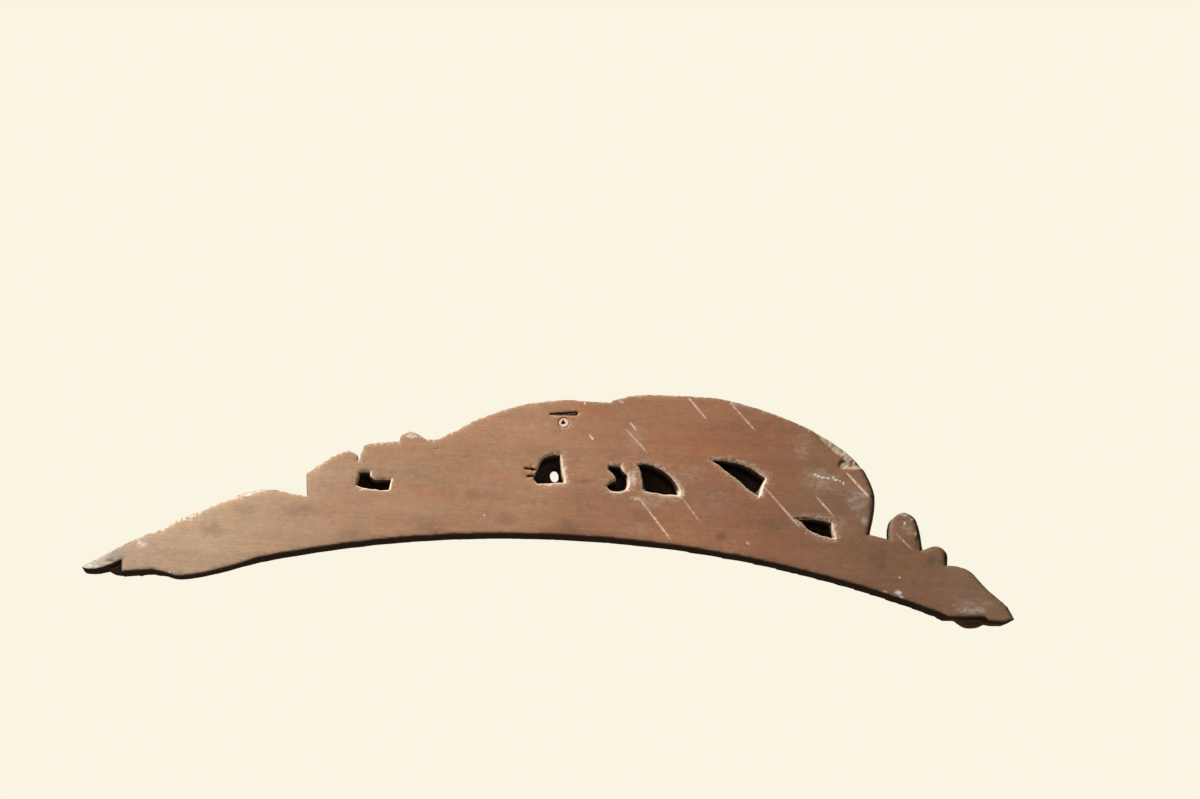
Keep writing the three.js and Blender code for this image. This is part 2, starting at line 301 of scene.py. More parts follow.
def back_height(back):
    """How far back the flat back reaches: planed, slightly hollow along the grain, cracked and dented."""
    height = BACK - 0.05 - 0.12 * (1 + noise(X, Z, 60, 6, 10)) - 0.06 * (1 + noise(X, Z, 18, 2.2, 11))
    height -= 0.15 * smooth_step(-7, 0, back) ** 2
    for points, half_width, depth in CRACKS:
        gap, share = to_line(X, Z, points)
        taper = np.sqrt(np.clip(1 - (2 * share - 1) ** 4, 0, 1))
        height -= depth * taper * smooth_step(half_width * 1.4, 0.1, gap + 0.3 * noise(X, Z, 5, 1.5, 12))
    for (x, z), radius, depth in DENTS:
        height -= depth * smooth_step(radius, 0, np.hypot(X - x, Z - z))
    beyond = np.clip((X - TIP_START + 0.35 * (Z - 20)) / (board_high[0] - TIP_START), 0, 1)
    height -= TIP_DROP * beyond**1.2 + 0.7 * smooth_step(0, 0.2, beyond) * (1 + noise(X, Z, 6, 3, 13))
    height -= chip_depth()
    return height


def chip_depth():
    """How deep the chip is: split off along the grain, deepest at the edge, with a rough floor."""
    beyond = signed_side(CHIP, X, Z)
    _, share = to_line(X, Z, CHIP)
    ends = smooth_step(0, 0.08, share) * smooth_step(1, 0.98, share)
    strip = smooth_step(0, 1.0, beyond) * ends * (1.4 + 0.2 * np.clip(beyond, 0, 8))
    patch = 1.5 * smooth_step(4.6, 3.4, np.hypot(X - CHIP_PATCH[0], Z - CHIP_PATCH[1]))
    near = smooth_step(-240, -246, X) * smooth_step(140, 146, Z)
    return near * np.maximum(strip, patch) * (1 + 0.35 * noise(X, Z, 3, 3, 14))


# ---- The carved front ----

# Each leaf's root, tip, width and sideways bend, as in the CAD model, from the lowest layer to the top one.
LEAVES = [
    ((228, 58), (440, 9), 30, 10),
    ((232, 74), (376, 44), 22, 10),
    ((196, 70), (300, 84), 20, 4),
    ((112, 88), (236, 104), 30, -6),
    ((104, 112), (194, 130), 22, 6),
    ((84, 118), (154, 143), 20, 6),
    ((-22, 84), (112, 152), 30, -16),
    ((-26, 96), (66, 174), 30, 2),
    ((-30, 104), (6, 192), 26, 10),
    ((34, 76), (128, 92), 21, -6),
    ((-104, 176), (-92, 86), 21, -6),
    ((-150, 182), (-148, 82), 26, -8),
    ((-204, 174), (-222, 78), 27, -8),
    ((-262, 152), (-288, 66), 27, -6),
    ((-36, 100), (-88, 202), 27, -8),
    ((-58, 152), (-296, 122), 36, -44),
    ((-286, 60), (-444, 10), 30, -8),
    ((-318, 62), (-402, 46), 20, -8),
]
# Beads and buds, each with its centre and radius.
BEADS = [((147, 147), 9.8), ((-26, 92), 13.6), ((-340, 91), 12.75), ((-371, 65), 9.4), ((-296, 96), 9.4)]
LEAF_CUT = 1.3
VEIN_SPACING = 5.5


def carve_leaf(surface, root, tip, width, bend):
    """Lays one veined leaf over a surface of heights above the ground, with a cut all round it."""
    root, tip = np.array(root, float), np.array(tip, float)
    length = np.linalg.norm(tip - root)
    forward = (tip - root) / length
    side = np.array([-forward[1], forward[0]])
    along = ((X - root[0]) * forward[0] + (Z - root[1]) * forward[1]) / length
    inner = np.clip(along, 0, 1)
    across = (X - root[0]) * side[0] + (Z - root[1]) * side[1] - bend * 4 * inner * (1 - inner)
    half = width / 2 * np.sin(math.pi * np.clip(along, 0.001, 0.999)) ** 0.8
    lobes = 1 + 0.07 * np.cos(math.pi * along * length / VEIN_SPACING)
    to_edge = np.where((along > 0) & (along < 1), half * lobes - np.abs(across), -9).astype(np.float32)
    share = np.clip(np.abs(across) / np.maximum(half, 1), 0, 1)
    crown = RELIEF * (0.55 + 0.45 * np.sin(math.pi * np.clip(inner * 0.85 + 0.1, 0, 1)))
    height = crown * (1 - 0.42 * share**2.2)
    rib = np.exp(-((across / 1.3) ** 2))
    height += 0.9 * np.exp(-((across / 3.2) ** 2)) * (1 - inner) - 1.5 * rib * smooth_step(0, 0.1, inner)
    veins = (inner * length - 0.9 * np.abs(across)) / VEIN_SPACING
    height -= 0.75 * (0.5 + 0.5 * np.cos(2 * math.pi * veins)) ** 3 * smooth_step(0.12, 0.3, share)
    height = np.minimum(height, RELIEF - 0.15)
    around = surface - 1.6 * np.exp(-((np.clip(-to_edge, 0, None) / 1.8) ** 2))
    risen = height * (0.1 + 0.9 * smooth_step(-0.4, LEAF_CUT, to_edge))
    return np.where(to_edge > 0, np.maximum(0, risen), around)


def arch_height(x):
    """How high the arch under the board is at x."""
    across = x - ARCH_CROWN[0]
    return ARCH_CROWN[1] - ARCH_RADIUS + np.sqrt(ARCH_RADIUS**2 - across**2)


def add_beads(surface):
    """Raises each bead over a surface of heights, as a dome in a shallow ring."""
    for (x, z), radius in BEADS:
        gap = np.hypot(X - x, Z - z)
        dome = (RELIEF - 0.2) * np.sqrt(np.clip(1 - (gap / radius) ** 2, 0, 1))
        surface = np.where(gap < radius + 1.5, np.minimum(surface, 1.5), surface)
        surface = np.maximum(surface, dome)
    return surface


def add_rim(surface):
    """Raises the rounded rim along the arch over a surface of heights, with a groove beside its crest."""
    rise = Z - arch_height(X)
    in_rim = smooth_step(ARCH_ENDS[0] - 3, ARCH_ENDS[0] + 6, X)
    in_rim = in_rim * smooth_step(ARCH_ENDS[1] + 6, ARCH_ENDS[1] - 3, X)
    from_middle = np.abs(rise - RIM_WIDTH / 2 + 1.5) / (RIM_WIDTH / 2 + 0.2)
    rim = (RELIEF - 0.1) * np.clip(1 - from_middle**3.5, 0, 1) ** 0.5
    rim -= 1.2 * np.exp(-(((rise - RIM_WIDTH * 0.62) / 1.1) ** 2))
    near = in_rim * smooth_step(RIM_WIDTH + 2.5, RIM_WIDTH + 0.5, rise)
    return surface * (1 - near) + (rim - 0.8 * smooth_step(RIM_WIDTH, RIM_WIDTH + 2.5, rise)) * near


def front_height(front, back):
    """How far the front stands out of the ground: punched texture, leaves, beads and the arch's rim."""
    surface = 0.5 * noise(X, Z, 3.2, 3.2, 20) + 0.4 * noise(X, Z, 8, 8, 21)
    for leaf in LEAVES:
        surface = carve_leaf(surface, *leaf)
    surface = add_rim(add_beads(surface))
    chisel = 0.22 * noise(X, Z, 5, 5, 22) + 0.12 * noise(X, Z, 2.4, 2.4, 23)
    hanging = smooth_step(-3, -0.5, back)
    lobes = (RELIEF - 0.8) * hanging * smooth_step(24, 18, Z) * smooth_step(370, 380, np.abs(X))
    surface = np.maximum(surface, lobes)
    surface = np.clip(surface + chisel, -1.2, RELIEF)
    worn = smooth_step(-3.5, 0, front) ** 2
    return surface - worn * (0.8 + 1.6 * smooth_step(20, -160, X))


# ---- The cuts through the board ----

def cut_out(field, cut, rounding):
    """Takes a cut out of a field, with its edge rounded."""
    return smooth_max(field, -cut, rounding)


def local(loop, reach):
    """Slices of the grid round a loop, and the plane's coordinates there."""
    low, high = loop.min(0) - reach, loop.max(0) + reach
    i = slice(*np.searchsorted(xs, [low[0], high[0]]))
    k = slice(*np.searchsorted(zs, [low[1], high[1]]))
    return i, k, X[i, k], Z[i, k]


def pierce(field):
    """Cuts each pocket, chamfered at its lip and narrowing inwards, and the mouth in front of it."""
    for loop in pocket_loops:
        i, k, x, z = local(loop, 10)
        wall = distance([loop], x, z)
        slope_x, slope_z = np.gradient(wall, VOXEL)
        chamfer = 0.6 + 1.2 * np.clip(-slope_x - 0.2, 0, 1) + 1.0 * np.clip(slope_z, 0, 1)
        chamfer = np.clip(chamfer + 0.5 * noise(x, z, 5, 5, 30), 0.3, 3)
        wall = wall + 0.3 * noise(x, z, 4, 4, 32)
        under = np.clip(BACK - DEPTHS, 0, None)
        narrowed = np.minimum(under * 1.1, deep(chamfer)) + POCKET_FLARE * under
        scoops = 0.5 * noise(x, z, 4, 4, 31)
        pocket = smooth_max(deep(wall) + narrowed, POCKET_FLOOR + deep(scoops) - DEPTHS, 4)
        for mouth in mouth_loops:
            middle = mouth.mean(0)
            if (middle > loop.min(0)).all() and (middle < loop.max(0)).all():
                opening = np.maximum(deep(distance([mouth], x, z)), DEPTHS - POCKET_FLOOR - 4)
                pocket = smooth_min(pocket, opening, 1.5)
        field[i, :, k] = cut_out(field[i, :, k], pocket, 0.5)
    return field


plug_centre = (plug_low + plug_high) / 2
plug_radius = (plug_high[0] - plug_low[0]) / 2
nail_bend = np.array([nail_low[0] + NAIL_HEAD_DIAMETER / 2, nail_high[2] - NAIL_HEAD_DIAMETER / 2])
nail_leg_depth = BACK - NAIL_SINK - NAIL_DIAMETER / 2


def hole_for_plug(field):
    """Cuts the plug's hole, a little chamfered at the back."""
    square = np.array([[-1, -1], [1, 1]]) * (plug_radius + 1)
    i, k, x, z = local(plug_centre[[0, 2]] + square, 3)
    round_wall = deep(np.hypot(x - plug_centre[0], z - plug_centre[2]) - plug_radius - CLEARANCE)
    chamfer = 0.5 * np.clip(1 - (BACK - DEPTHS) / 0.8, 0, 1)
    hole = np.maximum(round_wall - chamfer, plug_low[1] - CLEARANCE - DEPTHS)
    field[i, :, k] = cut_out(field[i, :, k], hole, 0.3)
    return field


def nail_gap(x, z):
    """Distance from the leg's middle line to each (x, z), and the tapering leg's radius beside it."""
    end = nail_bend + NAIL_LEG * np.array([math.cos(NAIL_ANGLE), math.sin(NAIL_ANGLE)])
    gap, share = to_segment(x, z, nail_bend, end)
    return gap, (NAIL_DIAMETER * (1 - share) + NAIL_TIP_DIAMETER * share) / 2


def hole_for_nail(field):
    """Cuts the groove for the nail's leg, the hole for its shank and the seat for its head."""
    ends = np.array([[nail_low[0], nail_low[2]], [nail_high[0], nail_high[2]]])
    i, k, x, z = local(ends, 4)
    gap, radius = nail_gap(x, z)
    wall = deep(gap - radius - CLEARANCE - 0.15)
    slot = np.maximum(wall, nail_leg_depth - deep(radius) - CLEARANCE - DEPTHS)
    from_bend = np.hypot(x - nail_bend[0], z - nail_bend[1])
    shank = deep(from_bend - NAIL_DIAMETER / 2 - CLEARANCE)
    seat = np.maximum(deep(from_bend - NAIL_HEAD_DIAMETER / 2 - CLEARANCE), DEPTHS - GROUND - CLEARANCE)
    field[i, :, k] = cut_out(field[i, :, k], np.minimum(np.minimum(slot, shank), seat), 0.3)
    return field


# ---- The board ----

def board_field(back, front, height):
    """The board's distance field, from its outlines' distances and its back's height."""
    bevel = deep(bevel_width(back))
    outer = DEPTHS - deep(height)
    edge = deep(back)
    field = smooth_max(smooth_max(edge, outer, 1.0), (edge + outer + bevel) * 0.7071, 1.2)
    lobes = np.maximum(deep(front), DEPTHS - 0.3)
    field = smooth_min(field, lobes, 0.4)
    carved = GROUND - deep(front_height(front, back)) - DEPTHS
    field = smooth_max(field, carved * 0.8, 0.5)
    beyond_x = np.maximum(board_low[0] - X, X - board_high[0])
    beyond_z = np.maximum(board_low[2] - Z, Z - board_high[2])
    field = np.maximum(field, deep(np.maximum(beyond_x, beyond_z)) + 0.1)
    return hole_for_nail(hole_for_plug(pierce(field))).astype(np.float32)


# ---- Meshing ----

def box_blur(field, reach):
    """The mean of a field over a box that reaches this many cells each way."""
    for axis in range(3):
        rows = np.moveaxis(field, axis, 0)
        rows = np.concatenate([rows[:1]] * (reach + 1) + [rows] + [rows[-1:]] * reach)
        total = np.cumsum(rows, axis=0, dtype=np.float32)
        field = np.moveaxis((total[2 * reach + 1:] - total[: -(2 * reach + 1)]) / (2 * reach + 1), 0, axis)
    return field


def at_cells(grid, cells):
    """Values of a 3-D grid at cell coordinates, from the nearest cell."""
    i, j, k = (np.clip(np.rint(cells[:, axis]).astype(int), 0, grid.shape[axis] - 1) for axis in range(3))
    return grid[i, j, k]


def on_plane(plane, cells):
    """Values of a field of the board's plane at cell coordinates, between its four nearest cells."""
    u = np.clip(cells[:, 0], 0, plane.shape[0] - 1.001)
    v = np.clip(cells[:, 2], 0, plane.shape[1] - 1.001)
    i, k = u.astype(int), v.astype(int)
    s, t = u - i, v - k
    low = plane[i, k] * (1 - s) + plane[i + 1, k] * s
    high = plane[i, k + 1] * (1 - s) + plane[i + 1, k + 1] * s
    return low * (1 - t) + high * t


def add_object(name, data):
    made = bpy.data.objects.new(name, data)
    bpy.context.scene.collection.objects.link(made)
    return made


def add_mesh(name, points, faces):
    """A smooth-shaded object, from points in metres."""
    mesh = bpy.data.meshes.new(name)
    mesh.from_pydata(points, [], faces)
    mesh.validate()
    mesh.polygons.foreach_set("use_smooth", np.ones(len(mesh.polygons), bool))
    return add_object(name, mesh)


def mesh_of(name, field):
    """Meshes a field, and returns the object with its points' cell coordinates."""
    grid = openvdb.FloatGrid(float(BAND))
    grid.copyFromArray(np.clip(field, -BAND, BAND))
    cells, triangles, quads = grid.convertToPolygons(0.0, ADAPTIVITY)
    origin = np.array([xs[0], ys[0], zs[0]], np.float32)
    points = (cells * VOXEL + origin) * MM
    faces = triangles[:, ::-1].tolist() + quads[:, ::-1].tolist()
    return add_mesh(name, points.tolist(), faces), cells


def add_attribute(made, name, values):
    """Gives an object's mesh a number at each point, for its material."""
    attribute = made.data.attributes.new(name, "FLOAT", "POINT")
    attribute.data.foreach_set("value", np.ascontiguousarray(values, dtype=np.float32))


def carve_board():
    """The board's mesh, with what its material needs to know at each point."""
    back, front = edges()
    height = back_height(back)
    field = board_field(back, front, height)
    board, cells = mesh_of("board_carved", field)
    y = ys[0] + cells[:, 1] * VOXEL
    under = on_plane(height, cells) - y
    inside = -on_plane(back, cells)
    pockets = np.full(X.shape, 99, np.float32)
    for loop in pocket_loops:
        i, k, x, z = local(loop, 6)
        pockets[i, k] = np.minimum(pockets[i, k], distance([loop], x, z))
    to_pocket = on_plane(pockets, cells)
    behind_carving = y > GROUND + 3.5
    # Cut surfaces lie below the flat back, and inside the outline.
    add_attribute(board, "cut", smooth_step(0.3, 0.9, under) * smooth_step(0.3, 1.0, inside) * behind_carving)
    add_attribute(board, "rim", smooth_step(1.9, 0.5, inside) * behind_carving)
    add_attribute(board, "chip", on_plane(chip_depth(), cells) * (y > BACK - 6))
    add_attribute(board, "pocket", (to_pocket < 0.4) & (y > GROUND + 1) & (under > 0.3))
    add_attribute(board, "lip", smooth_step(3.5, 0, to_pocket) * (under < 0.4) * (to_pocket > 0))
    solid_share = box_blur((field < 0).astype(np.float32), max(1, round(2.0 / VOXEL)))
    add_attribute(board, "solid", at_cells(solid_share, cells))
    return board


# ---- Plug and nail ----

def tube(name, rings, closed):
    """A smooth piece through rings of equal counts of points: a loop of rings, or a bar with filled ends."""
    count = len(rings[0])
    points = [tuple(Vector(point) * MM) for ring in rings for point in ring]
    faces = []
    for i in range(len(rings) if closed else len(rings) - 1):
        j = (i + 1) % len(rings)
        for a in range(count):
            b = (a + 1) % count
            faces.append((i * count + a, i * count + b, j * count + b, j * count + a))
    if not closed:
        faces += [tuple(range(count))[::-1], tuple(range((len(rings) - 1) * count, len(rings) * count))]
    made = add_mesh(name, points, faces)
    turned = bmesh.new()
    turned.from_mesh(made.data)
    bmesh.ops.recalc_face_normals(turned, faces=turned.faces)
    turned.to_mesh(made.data)
    turned.free()
    return made


def make_plug():
    """A wooden plug with a softened rim, and a torn three-cornered pilot hole through it."""
    random = np.random.default_rng(40)
    angles = np.linspace(0, 2 * math.pi, 72, endpoint=False)
    ragged = np.convolve(np.tile(random.uniform(-1, 1, 72), 3), np.ones(3) / 3, "same")[72:144]
    outer = plug_radius - 0.02 + 0.04 * ragged
    corner = 1 + 0.2 * np.cos(3 * (angles - math.radians(200))) + 0.06 * ragged
    pilot = PILOT_DIAMETER / 2 * corner
    middle = plug_centre[[0, 2]]
    hole = middle + np.array(PILOT_OFFSET)
    bottom, top = plug_low[1], plug_high[1] - 0.1
    cosine, sine = np.cos(angles), np.sin(angles)

    def ring(share, depth, dip=0.0):
        """A ring part of the way from the pilot hole, at 0, to the rim, at 1."""
        across = (hole[0] + pilot * cosine) * (1 - share) + (middle[0] + outer * cosine) * share
        up = (hole[1] + pilot * sine) * (1 - share) + (middle[1] + outer * sine) * share
        return [(x, depth - dip * (0.6 + 0.4 * rag), z) for x, z, rag in zip(across, up, ragged)]

    rings = [ring(0, bottom), ring(0, bottom + 4), ring(0, top - 3), ring(0, top, 0.9), ring(0.1, top, 0.25)]
    rings += [ring(share, top, 0.08) for share in (0.25, 0.45, 0.65, 0.85)]
    rings += [ring(0.95, top, 0.1), ring(1, top, 0.35), ring(1, top - 3)]
    rings += [ring(1, bottom + 2), ring(0.97, bottom)]
    return tube("plug_turned", rings, closed=True)


def nail_path(leg):
    """The nail's middle line, as places with radii: head, shank, bend, and a leg that sags a little."""
    sag = np.array([math.sin(NAIL_ANGLE), 0, -math.cos(NAIL_ANGLE)])
    bend_at = np.array([nail_bend[0], nail_leg_depth, nail_bend[1]])
    head, shank, tip = NAIL_HEAD_DIAMETER / 2, NAIL_DIAMETER / 2, NAIL_TIP_DIAMETER / 2
    head_low = GROUND - NAIL_HEAD_THICKNESS
    profile = [
        (head_low + 0.05, 0.3),
        (head_low + 0.1, 0.5 * head),
        (head_low + 0.3, 0.88 * head),
        (head_low + 0.7, head - 0.05),
        (GROUND - 0.2, 0.95 * head),
        (GROUND, 0.6 * head),
        (GROUND + 0.3, shank),
    ]
    profile += [(depth, shank) for depth in np.linspace(GROUND + 1.5, nail_leg_depth - 2, 9)]
    path = [(np.array([bend_at[0], depth, bend_at[2]]), radius) for depth, radius in profile]
    for angle in np.linspace(0.25, math.pi / 2, 6):
        spot = bend_at + leg * NAIL_TURN * (1 - math.cos(angle))
        spot[1] += NAIL_TURN * (math.sin(angle) - 1)
        path.append((spot, shank * 1.02))
    for share in np.linspace(0.12, 1, 22):
        spot = bend_at + leg * NAIL_LEG * share + sag * 0.9 * math.sin(math.pi * share)
        spot[1] -= 0.25 * share
        path.append((spot, shank * (1 - share) ** 0.8 + tip * share**0.8))
    return path


def make_nail():
    """A forged nail: slightly square, hammered rings along its middle line."""
    random = np.random.default_rng(41)
    leg = np.array([math.cos(NAIL_ANGLE), 0, math.sin(NAIL_ANGLE)])
    path = nail_path(leg)
    rings = []
    count = 18
    for index, (spot, radius) in enumerate(path):
        before, after = path[max(index - 1, 0)][0], path[min(index + 1, len(path) - 1)][0]
        along = Vector(after - before).normalized()
        side = along.cross(Vector((leg[2], 0, -leg[0]))).normalized()
        other = along.cross(side)
        ring = []
        for angle in np.linspace(0, 2 * math.pi, count, endpoint=False):
            dent = random.uniform(-0.05, 0.02) * min(radius, 1)
            facet = radius * (1 - 0.06 * abs(math.sin(2 * angle))) + dent
            ring.append(Vector(spot) + (side * math.cos(angle) + other * math.sin(angle)) * facet)
        rings.append(ring)
    return tube("nail_bent", rings, closed=False)


# ---- Material graphs ----

class Graph:
    """Adds shader nodes to a material: each call returns the output of what it adds."""

    def __init__(self, name):
        self.material = bpy.data.materials.new(name)
        self.material.use_nodes = True
        self.tree = self.material.node_tree
        self.shader = self.tree.nodes["Principled BSDF"]
        metres = self.node("TexCoord", output="Object")
        self.place = self.node("VectorMath", [metres, (1 / MM,) * 3], operation="MULTIPLY")
        self.flat_place = self.node("VectorMath", [self.place, (1.0, 0.0, 1.0)], operation="MULTIPLY")

    def set(self, socket, value):
        """Links a node's output to a socket, or gives the socket a value."""
        if isinstance(value, bpy.types.NodeSocket):
            self.tree.links.new(value, socket)
        else:
            socket.default_value = value

    def node(self, kind, values=(), output=0, **settings):
        """Makes a node, with values or outputs for its inputs, and returns one of its outputs."""
        made = self.tree.nodes.new("ShaderNode" + kind)
        for key, value in settings.items():
            setattr(made, key, value)
        for key, value in (values.items() if isinstance(values, dict) else enumerate(values)):
            self.set(made.inputs[key], value)
        return made.outputs[output]

    def math(self, operation, *values):
        return self.node("Math", values, operation=operation)

    def times(self, *values):
        total = values[0]
        for value in values[1:]:
            total = self.math("MULTIPLY", total, value)
        return total

    def plus(self, *values):
        total = values[0]
        for value in values[1:]:
            total = self.math("ADD", total, value)
        return total

    def swing(self, value, amount):
        """A value from 0 to 1, made to swing round 0 by an amount."""
        return self.times(self.plus(value, -0.5), amount)

    def rest(self, value):
        """What is left of 1."""
        return self.math("SUBTRACT", 1.0, value)

    def step(self, low, high, value):
        """0 below low and 1 above high, smoothly; or the other way round where low is the larger."""
        return self.node("MapRange", [value, low, high, 0.0, 1.0], interpolation_type="SMOOTHSTEP")

    def noise(self, size, detail, shift=0.0, distortion=0.0):
        """Noise from about 0 to 1, with its grain's size in millimetres along x, y and z."""
        scale = tuple(1 / s for s in size)
        scaled = self.node("VectorMath", [self.place, scale, (shift,) * 3], operation="MULTIPLY_ADD")
        values = {"Vector": scaled, "Scale": 1.0, "Detail": detail, "Roughness": 0.55}
        return self.node("TexNoise", values | {"Distortion": distortion})

    def fleck(self, low, high, size, detail, shift):
        """Patches cut out of a noise, between two of its values."""
        return self.step(low, high, self.noise(size, detail, shift=shift))

    def mix(self, factor, low, high, kind="MIX"):
        """From the low colour, where the factor is 0, to the high one, where it is 1."""
        low, high = ((c + (1.0,)) if isinstance(c, tuple) else c for c in (low, high))
        return self.node("Mix", {0: factor, 6: low, 7: high}, output=2, data_type="RGBA", blend_type=kind)

    def shade(self, colour, amount):
        """A colour made lighter or darker by an amount round 1."""
        grey = self.node("CombineColor", [amount, amount, amount])
        return self.mix(1.0, colour, grey, "MULTIPLY")

    def tint(self, factor, colour, tone):
        """A colour multiplied by a tone, as far as the factor says."""
        return self.mix(factor, colour, self.mix(1.0, colour, tone, "MULTIPLY"))

    def attribute(self, name):
        return self.node("Attribute", output=2, attribute_name=name)

    def axis(self, which):
        return self.node("SeparateXYZ", [self.place], output="XYZ".index(which))

    def stroke(self, start, end, width, rag):
        """1 along a straight line between two places, falling to 0 at a ragged width."""
        along = Vector((end[0] - start[0], 0, end[1] - start[1]))
        unit = tuple(along / along.length_squared)
        gap = self.node("VectorMath", [self.flat_place, (start[0], 0, start[1])], operation="SUBTRACT")
        reach = self.node("VectorMath", [gap, unit], output=1, operation="DOT_PRODUCT")
        reach = self.node("Clamp", [reach, 0.0, 1.0])
        nearest = self.node("VectorMath", {0: tuple(along), 3: reach}, operation="SCALE")
        away = self.plus(self.node("VectorMath", [gap, nearest], output=1, operation="DISTANCE"), rag)
        ends = self.math("POWER", self.math("ABSOLUTE", self.plus(self.times(reach, 2.0), -1.0)), 6.0)
        return self.step(width, width * 0.25, self.plus(away, self.times(ends, width * 0.6)))

    def spot(self, middle, size, rag):
        """1 at a place, falling to 0 at a ragged size along x and z."""
        gap = self.node("VectorMath", [self.flat_place, (middle[0], 0.0, middle[1])], operation="SUBTRACT")
        gap = self.node("VectorMath", [gap, (1 / size[0], 0.0, 1 / size[1])], operation="MULTIPLY")
        away = self.node("VectorMath", [gap], output=1, operation="LENGTH")
        return self.step(1.0, 0.1, self.plus(away, rag))

    def most(self, values):
        """The largest of several values."""
        total = values[0]
        for value in values[1:]:
            total = self.math("MAXIMUM", total, value)
        return total

    def finish(self, colour, roughness, bump, depth):
        """Joins colour, roughness and bump, with the bump's depth in millimetres."""
        self.set(self.shader.inputs["Base Color"], colour)
        self.set(self.shader.inputs["Roughness"], roughness)
        normal = self.node("Bump", {"Strength": 1.0, "Distance": depth * MM, "Height": bump})
        self.set(self.shader.inputs["Normal"], normal)
        return self.material


HALF_LENGTH = 450.0
# Bare wood along the board, from the knobs' end to the weathered tip: place along x in mm, and colour.
# Paler towards the tip, partly the wood's own tone and partly painted light falling off towards the knobs.
BARE_WOOD_AND_PAINTED_FALLOFF = [
    (-420, (0.290, 0.160, 0.092)),
    (-350, (0.262, 0.132, 0.072)),
    (-290, (0.262, 0.134, 0.074)),
    (-200, (0.290, 0.132, 0.066)),
    (-120, (0.335, 0.155, 0.080)),
    (-40, (0.322, 0.158, 0.084)),
    (40, (0.366, 0.196, 0.107)),
    (120, (0.345, 0.188, 0.105)),
    (215, (0.355, 0.208, 0.124)),
    (330, (0.385, 0.254, 0.162)),
    (405, (0.405, 0.280, 0.190)),
]
# Scratches in the back: from, to, width in mm, and strength. Their soft edges reach a little further.
SCRATCH_REACH = 1.35
SCRATCHES = [
    ((-121, 209), (-140, 188), 1.0, 0.75),
    ((-163, 206), (-189, 179), 1.0, 0.6),
    ((-65, 180), (-72, 172), 1.1, 0.7),
    ((-61, 173), (-84, 150), 0.9, 0.5),
    ((-26, 165), (-30, 160), 1.2, 0.9),
    ((-77, 105), (-111, 64), 1.1, 0.7),
    ((-119, 108), (-138, 84), 0.9, 0.45),
    ((-200, 123), (-235, 86), 1.1, 0.7),
    ((-250, 118), (-269, 98), 1.1, 0.75),
    ((-280, 143), (-305, 118), 1.3, 1.0),
    ((-330, 86), (-347, 70), 1.0, 0.55),
    ((-53, 201), (-58, 199), 1.3, 0.6),
    ((-280, 147), (-293, 148), 1.3, 0.6),
    ((-183, 68), (-187, 66), 1.2, 0.7),
]
# Dark stains and pale haze on the back: middle, size along x and z, and strength.
STAINS = [
    ((-8, 74), (16, 10), 0.5), ((52, 76), (14, 8), 0.45), ((124, 64), (22, 12), 0.5),
    ((199, 52), (24, 10), 0.4), ((-79, 88), (18, 12), 0.35), ((-159, 72), (8, 7), 0.75),
    ((-206, 86), (20, 10), 0.35), ((-315, 58), (14, 16), 0.55), ((82, 98), (12, 7), 0.35),
    ((249, 73), (24, 9), 0.35), ((330, 50), (20, 10), 0.45), ((300, 70), (16, 8), 0.35),
    ((-366, 60), (12, 9), 0.8), ((-378, 66), (6, 9), 0.7), ((36, 124), (6, 8), 0.4),
    ((-20, 118), (14, 5), 0.35),
]
HAZES = [
    ((-254, 134), (26, 16), 0.55), ((-236, 165), (12, 22), 0.4), ((-294, 116), (20, 16), 0.75),
    ((-273, 90), (14, 12), 0.5), ((-126, 131), (18, 14), 0.35), ((-88, 104), (26, 12), 0.5),
    ((-79, 74), (20, 9), 0.35), ((-342, 92), (10, 12), 0.6), ((-72, 165), (12, 16), 0.3),
    ((-150, 110), (30, 16), 0.25), ((395, 31), (7, 5), 0.9), ((-410, 20), (30, 9), 0.5),
]
# Small pale specks: middle, and size along x and z.
SPECKS = [
    ((-249.5, 139), (2.2, 1.4)), ((-252.5, 137.5), (3.4, 1.5)), ((-256.5, 136.5), (3.2, 1.7)),
    ((-262, 136), (3.0, 1.2)), ((-267.5, 137), (1.6, 2.8)), ((-270, 135), (3.0, 1.6)),
    ((-274, 134), (1.8, 1.2)), ((-277.5, 132), (1.4, 2.2)), ((-321, 27), (3.2, 2.0)),
    ((-328, 23.5), (4.0, 2.6)), ((-334, 27), (5.0, 3.4)), ((-337, 22), (3.8, 2.8)),
    ((-335, 42), (1.6, 1.6)), ((-339, 96), (1.6, 2.2)), ((-346, 100), (2.0, 1.3)),
    ((-350, 86), (1.2, 2.6)), ((367, 6), (1.2, 1.2)), ((72, 79), (1.0, 0.9)), ((-196, 117), (2.4, 3.0)),
    ((-20, 196), (1.3, 2.0)),
]
# Redder wood, and greyer wood with an olive cast: middle, size along x and z, and strength.
RED_WOOD = [
    ((-20, 190), (36, 13), 0.7), ((-135, 161), (34, 20), 0.5), ((-224, 142), (26, 16), 0.5),
    ((-194, 170), (30, 12), 0.45), ((-95, 160), (26, 16), 0.35), ((115, 95), (34, 10), 0.4),
    ((-100, 82), (34, 10), 0.4), ((-280, 60), (30, 14), 0.3),
]
GREY_WOOD = [
    ((168, 120), (52, 14), 0.8), ((190, 108), (36, 18), 0.5), ((-252, 130), (42, 30), 0.5),
    ((335, 68), (54, 14), 0.5), ((60, 128), (34, 10), 0.4), ((-292, 108), (18, 32), 0.6),
    ((-100, 175), (30, 10), 0.3), ((370, 35), (40, 14), 0.3),
]
